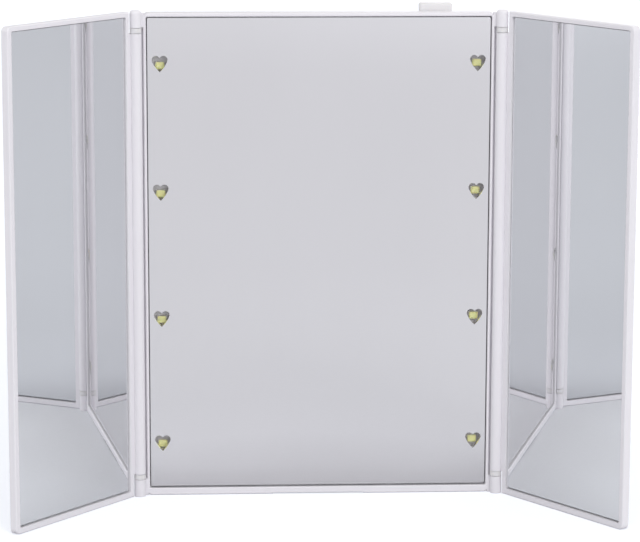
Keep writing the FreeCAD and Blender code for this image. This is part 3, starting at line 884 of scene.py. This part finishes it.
@dataclass
class HeartLights:
    """Diodes behind the heart windows, with the shield round each."""

    finish: Finish
    column_x: float = 58.3 * MM
    lowest_z: float = 19.95 * MM
    pitch: float = 47.6 * MM
    count: int = 4
    gel_drops: Span = (1.1 * MM, 0.3 * MM)
    front_y: float = -9.0 * MM
    shield_depths: Span = (3.05 * MM, 6.35 * MM)
    shield_mouth: float = 3.0 * MM
    shield_throat: float = 2.95 * MM
    shield_wall: float = 0.08 * MM
    shield_rings: Tuple[float, ...] = (0.0, 0.35, 0.7, 1.0)
    shield_ease: float = 0.8
    shield_corner: float = 0.3
    shield_columns: int = 48
    gel_size: Point = (1.68 * MM, 0.50 * MM, 1.35 * MM)
    gel_depth: float = 5.10 * MM
    gel_rows: int = 15
    gel_columns: int = 40
    gel_shoulder: Span = (0.45, 0.8)
    gel_corner: float = 0.35

    def places(self, side: int) -> List[Span]:
        """Middles of one column's hearts.

        Args:
            side: -1 for the left column, 1 for the right.

        Returns:
            x and z of each.
        """
        across = side * self.column_x
        return [(across, self.lowest_z + row * self.pitch) for row in range(self.count)]

    def shield(self, x: float, z: float) -> Shape:
        """Tapered tube: P(t, a) = middle + s(t) (c(a)^k, s(a)^k), its profile a thin closed loop.

        Args:
            x: place across.
            z: place up.

        Returns:
            Vertices and faces.
        """
        inward = np.array(self.shield_rings)
        share = np.concatenate([inward, inward[::-1]])
        wall = np.repeat([0.0, self.shield_wall], len(inward))
        taper = self.shield_throat - self.shield_mouth
        half = self.shield_mouth + share ** self.shield_ease * taper + wall
        start, end = self.shield_depths
        depth = self.front_y + start + share * (end - start)
        angle = full_turn(self.shield_columns)
        px = x + np.outer(half, signed_power(np.cos(angle), self.shield_corner))
        pz = z + np.outer(half, signed_power(np.sin(angle), self.shield_corner))
        py = np.repeat(depth[:, None], len(angle), axis=1)
        points = np.stack([px, py, pz], axis=-1).reshape(-1, 3)
        return points, wrapped_faces(len(share), len(angle), True)[:, ::-1].tolist()

    def gel(self, x: float, z: float) -> Shape:
        """Phosphor pillow, a superellipsoid: (a c(n)^e c(w)^f, -b s(n)^g, d c(n)^e s(w)^f).

        Args:
            x: place across.
            z: place up.

        Returns:
            Vertices and faces.
        """
        rise = np.linspace(-math.pi / 2, math.pi / 2, self.gel_rows)[1:-1]
        angle = full_turn(self.gel_columns)
        ring = signed_power(np.cos(rise), self.gel_shoulder[0])
        lift = signed_power(np.sin(rise), self.gel_shoulder[1])
        half_x, half_y, half_z = self.gel_size
        middle = self.front_y + self.gel_depth
        px = x + half_x * np.outer(ring, signed_power(np.cos(angle), self.gel_corner))
        pz = z + half_z * np.outer(ring, signed_power(np.sin(angle), self.gel_corner))
        py = np.repeat((middle - half_y * lift)[:, None], len(angle), axis=1)
        poles = np.array([[x, middle + half_y, z], [x, middle - half_y, z]])
        points = np.concatenate([np.stack([px, py, pz], axis=-1).reshape(-1, 3), poles])
        return points, capped_faces(len(rise), len(angle))

    def build(self) -> None:
        """Make the shields and the gel of both columns."""
        for side, label, drop in ((-1, "left", self.gel_drops[0]), (1, "right", self.gel_drops[1])):
            shields = joined(self.shield(x, z) for x, z in self.places(side))
            make_piece(f"light_shields_{label}", shields, Body.CASE,
                       [self.finish.shield])
            gels = joined(self.gel(x, z - drop) for x, z in self.places(side))
            make_piece(f"phosphor_gel_{label}", gels, Body.CASE,
                       [self.finish.phosphor])

    def dress(self) -> None:
        """Give the diodes, boards and windows their finishes."""
        dress(["leds_left", "leds_right"], self.finish.package)
        dress(["led_board_left", "led_board_right"], self.finish.board)
        dress(["heart_windows"], self.finish.hearts)


@dataclass
class BatteryBay:
    """Four cells with their sleeves, the contacts and the door."""

    finish: Finish
    count: int = 4
    columns: int = 56
    rim_points: int = 6
    side_shares: Tuple[float, ...] = (0.25, 0.5, 0.75)
    radius: float = 5.13 * MM
    length: float = 44.5 * MM
    rim: float = 0.7 * MM
    nub_radius: float = 1.9 * MM
    nub_height: float = 0.9 * MM
    nub_edge: float = 0.2 * MM
    dish_mm: Spans = ((0.0, 0.25), (3.6, 0.25), (3.8, 0.0))
    groove_mm: Spans = ((3.7, 0.0), (3.5, -0.3), (2.4, -0.3), (2.2, 0.0))
    pitch: float = 10.6 * MM
    axis_y: float = 1.9 * MM
    foot_z: Span = (34.3 * MM, 30.4 * MM)

    def profile(self) -> np.ndarray:
        """Radius and height of a cell from its flat end to its nub.

        Returns:
            n by 2 array: dished base, rolled rim, sleeve, shoulder, groove and nub.
        """
        turn = np.linspace(0.0, math.pi / 2, self.rim_points)
        body, inner, edge = self.length - self.nub_height, self.radius - self.rim, self.nub_edge
        low = np.stack([inner + self.rim * np.sin(turn), self.rim - self.rim * np.cos(turn)], -1)
        side = [[self.radius, body * share] for share in self.side_shares]
        high = np.stack([inner + self.rim * np.cos(turn),
                         body - self.rim + self.rim * np.sin(turn)], -1)
        nub = [[self.nub_radius, body], [self.nub_radius, self.length - edge],
               [self.nub_radius - edge, self.length], [0.0, self.length]]
        return np.concatenate([np.array(self.dish_mm) * MM, low, side, high,
                               np.array(self.groove_mm) * MM + [0.0, body], nub])

    def cell(self, index: int, profile: np.ndarray) -> Shape:
        """One cell in its place, every other one the other way up.

        Args:
            index: its number from the left.
            profile: radius and height from its flat end to its nub.

        Returns:
            Vertices and faces.
        """
        points, faces = turned(profile, (0.0, 0.0, 0.0), Axis.UPRIGHT, self.columns)
        if index % 2:
            points = points * np.array([1.0, -1.0, -1.0]) + np.array([0.0, 0.0, self.length])
        across = (index - (self.count - 1) / 2) * self.pitch
        return points + np.array([across, self.axis_y, self.foot_z[index % 2]]), faces

    def build(self) -> None:
        """Make the cells: the first material is the sleeve and the second the bare ends."""
        profile = self.profile()
        sleeved = profile[1:-1, 0] > self.radius - self.rim - HAIR
        quad_slots = np.repeat(np.where(sleeved[:-1] & sleeved[1:], 0, 1), self.columns)
        slots = np.concatenate([quad_slots, np.ones(self.columns * 2, int)])
        heights = np.concatenate([np.repeat(profile[1:-1, 1], self.columns), [0.0, self.length]])
        run = np.stack([np.zeros(len(heights)), heights / self.length], -1)
        shape = joined(self.cell(index, profile) for index in range(self.count))
        piece = make_piece("sleeved_cells", shape, Body.CASE,
                           [self.finish.sleeve, self.finish.cell_end],
                           np.tile(slots, self.count), np.tile(run, (self.count, 1)))
        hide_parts("battery_cells")

    def dress(self) -> None:
        """Give the contacts and the door their finishes."""
        dress(["contact_plates", "contact_springs"], self.finish.contact)
        dress(["battery_cells"], self.finish.sleeve)
        dress(["battery_door"], self.finish.case)


@dataclass
class MirrorSheets:
    """The three silvered sheets and the tape behind the wings' sheets."""

    finish: Finish
    # The three sheets share one silver and one edge. Their tones are set apart per sheet as painted
    # light, to match how each sheet's reflection is lit, and the wings' edge is lightened as
    # painted light in their shaded gap line.
    centre_silver_painted_tone: Colour = (0.912, 0.894, 0.904)
    centre_edge: Colour = (0.31, 0.33, 0.33)
    wing_silver_painted_tone: Colour = (0.889, 0.896, 0.909)
    wing_edge_painted_light: Colour = (0.50, 0.52, 0.52)

    def dress(self) -> None:
        """Give each sheet a mirror finish that knows which way it faces."""
        for name, silver, edge in (("centre_mirror", self.centre_silver_painted_tone, self.centre_edge),
                                   ("wing_mirror_left", self.wing_silver_painted_tone, self.wing_edge_painted_light),
                                   ("wing_mirror_right", self.wing_silver_painted_tone, self.wing_edge_painted_light)):
            glass = SilveredGlass(name.replace("_", " "), facing_way(name), silver, edge)
            dress([name], glass.make())
        dress(["wing_tape_left", "wing_tape_right"], self.finish.tape)


@dataclass
class Hinges:
    """Wing frames, collars and rods."""

    finish: Finish

    def dress(self) -> None:
        """Give the hinges and wing frames their finishes."""
        dress(["wing_frame_left", "wing_frame_right"], self.finish.case)
        dress(["hinge_collars"], self.finish.button)
        dress(["hinge_pins"], self.finish.rod)


@dataclass
class PowerButton:
    """Push button, its plunger and the switch under it."""

    finish: Finish

    def dress(self) -> None:
        """Give the button and switch their finishes."""
        dress(["push_button", "switch_plunger"], self.finish.button)
        dress(["switch_body"], self.finish.switch)


# ---------------------------------------------------------------- stage and camera
@dataclass(frozen=True)
class SoftLamp:
    """Square soft lamp that looks at the middle of the mirror."""

    name: str
    place: Point
    size: float
    power: float
    target: Point = (0.0, 0.0, 0.09)

    def build(self) -> None:
        """Make the lamp."""
        data = bpy.data.lights.new(self.name, "AREA")
        data.shape, data.size, data.energy = "SQUARE", self.size, self.power
        lamp = bpy.data.objects.new(self.name, data)
        lamp.location = self.place
        sight = Vector(self.target) - Vector(self.place)
        lamp.rotation_euler = sight.to_track_quat("-Z", "Y").to_euler()
        bpy.context.scene.collection.objects.link(lamp)
        log.info("lamp %s: %.0f W", self.name, self.power)


@dataclass
class Studio:
    """Pale floor, even surroundings and large soft lamps."""

    floor_radius: float = 9.0
    floor_points: int = 96
    floor_tone: Colour = (0.615, 0.620, 0.650)
    floor_roughness: float = 0.6
    speck_scale: float = 420.0
    speck_share: float = 0.985
    lift_tone: Colour = (0.91, 0.95, 1.0)
    seen_lift: Spans = ((0.3, 0.46), (3.0, 0.54))
    # painted light on the floor as glossy rays see it: it peaks near the object and falls off with
    # the distance, and painted shade lowers it at the object's foot
    mirrored_painted_light: Spans = ((0.04, 0.160), (0.10, 0.228), (0.16, 0.202), (0.45, 0.148),
                            (1.30, 0.088))
    foot_shade: float = 0.12
    foot_shade_reach: float = 0.045
    foot_shade_samples: int = 5
    open_share: Span = (0.5, 0.95)
    light_front_to_rear: Span = (1.45, 0.95)
    front_to_rear: Span = (-1.0, 0.6)
    light_from_above: float = 0.60
    mirrored_surroundings: float = 0.72
    lamps: Tuple[SoftLamp, ...] = (
        SoftLamp("key", (-1.3, -1.0, 1.9), 1.4, 2.5),
        SoftLamp("fill", (0.9, -2.0, 0.8), 1.2, 12.0),
        SoftLamp("rear", (0.6, 1.7, 1.1), 1.2, 6.0),
    )

    def build(self) -> None:
        """Make the floor, the surroundings and the lamps."""
        self.floor()
        self.surroundings()
        for lamp in self.lamps:
            lamp.build()

    def floor(self) -> None:
        """Make the disc at the resting height: P(t, a) = R t (cos a, sin a, 0)."""
        angle = full_turn(self.floor_points)
        ring = np.stack([np.cos(angle), np.sin(angle), np.zeros_like(angle)], axis=-1)
        mesh = bpy.data.meshes.new("floor")
        mesh.from_pydata((ring * self.floor_radius).tolist(), [], [list(range(len(angle)))])
        mesh.materials.append(self.paper())
        piece = bpy.data.objects.new("floor", mesh)
        bpy.context.scene.collection.objects.link(piece)
        log.info("floor of %.1f m", self.floor_radius)

    def paper(self) -> bpy.types.Material:
        """Build the floor's finish: grey paper, white where it is seen and paler grey in mirrors.

        The lift goes by the distance from the middle. In mirrors it is painted light that peaks
        near the object and falls off farther out, with painted shade at the object's foot.

        Returns:
            The material.
        """
        sheet = NodeSheet("floor paper")
        speck = sheet.spread(sheet.noise(self.speck_scale), 0.0, 1.0)
        tone = sheet.blend(speck, self.floor_tone, scaled(self.floor_tone, self.speck_share))
        paper = sheet.add("ShaderNodeBsdfDiffuse", Color=tone, Roughness=self.floor_roughness)
        away = sheet.vector_math("LENGTH", sheet.place.outputs["Object"])
        seen = sheet.graph(away, *self.seen_lift)
        nearby = sheet.add("ShaderNodeAmbientOcclusion", Distance=self.foot_shade_reach)
        nearby.samples = self.foot_shade_samples
        shade = sheet.spread(nearby.outputs["AO"], self.foot_shade, 0.0, *self.open_share)
        mirrored = sheet.work_out("SUBTRACT", sheet.graph(away, *self.mirrored_painted_light), shade)
        light = sheet.add("ShaderNodeEmission", Color=self.lift_tone,
                          Strength=sheet.by_ray(seen, mirrored, seen))
        return sheet.finish(sheet.combine("ShaderNodeAddShader", paper, light))

    def surroundings(self) -> None:
        """Make the soft light all round, fuller from the front and less from above."""
        sheet = NodeSheet("surroundings", surroundings=True)
        way = sheet.add("ShaderNodeSeparateXYZ", Vector=sheet.place.outputs["Generated"])
        level = sheet.spread(way.outputs["Y"], *self.light_front_to_rear, *self.front_to_rear)
        above = sheet.spread(way.outputs["Z"], 1.0, self.light_from_above, 0.0, 1.0)
        light = sheet.work_out("MULTIPLY", level, above)
        strength = sheet.by_ray(1.0, self.mirrored_surroundings, 1.0, light)
        back = sheet.add("ShaderNodeBackground", Color=WHITE, Strength=strength)
        bpy.context.scene.world = sheet.finish(back)


@dataclass
class Viewpoint:
    """Camera: its place, its tilt down, turn to the right and lean in degrees, and its lens.

    The focal length is in picture widths.
    """

    place: Point = (-0.04851, -1.0261, 0.28747)
    pitch: float = 11.22
    yaw: float = 2.756
    roll: float = 0.15
    focal: float = 2797.7 / 640.0
    sensor: float = 36.0
    clip: Span = (0.01, 50.0)

    def build(self) -> None:
        """Make the camera and set it as the scene's."""
        pitch, yaw, roll = (math.radians(turn) for turn in (self.pitch, self.yaw, self.roll))
        ahead = Vector((math.sin(yaw) * math.cos(pitch), math.cos(yaw) * math.cos(pitch),
                        -math.sin(pitch)))
        level = Vector((math.cos(yaw), -math.sin(yaw), 0.0))
        upright = level.cross(ahead)
        right = level * math.cos(roll) + upright * math.sin(roll)
        up = upright * math.cos(roll) - level * math.sin(roll)
        data = bpy.data.cameras.new("viewpoint")
        data.sensor_width, data.sensor_fit = self.sensor, "HORIZONTAL"
        data.lens = self.focal * self.sensor
        data.clip_start, data.clip_end = self.clip
        camera = bpy.data.objects.new("viewpoint", data)
        turn = Matrix((right, up, -ahead)).transposed().to_4x4()
        camera.matrix_world = Matrix.Translation(Vector(self.place)) @ turn
        bpy.context.scene.collection.objects.link(camera)
        bpy.context.scene.camera = camera
        log.info("camera lens %.1f mm", data.lens)


def main() -> None:
    """Build every sub-assembly in order, then the stage and the camera."""
    logging.basicConfig(level=logging.INFO, format="%(name)s %(message)s")
    finish = Finish()
    for part in (CentreCase(finish), HeartLights(finish), BatteryBay(finish)):
        part.build()
        part.dress()
    for part in (MirrorSheets(finish), Hinges(finish), PowerButton(finish)):
        part.dress()
    Studio().build()
    Viewpoint().build()
    bpy.context.scene.view_settings.view_transform = "Standard"


if __name__ == "__main__":
    main()
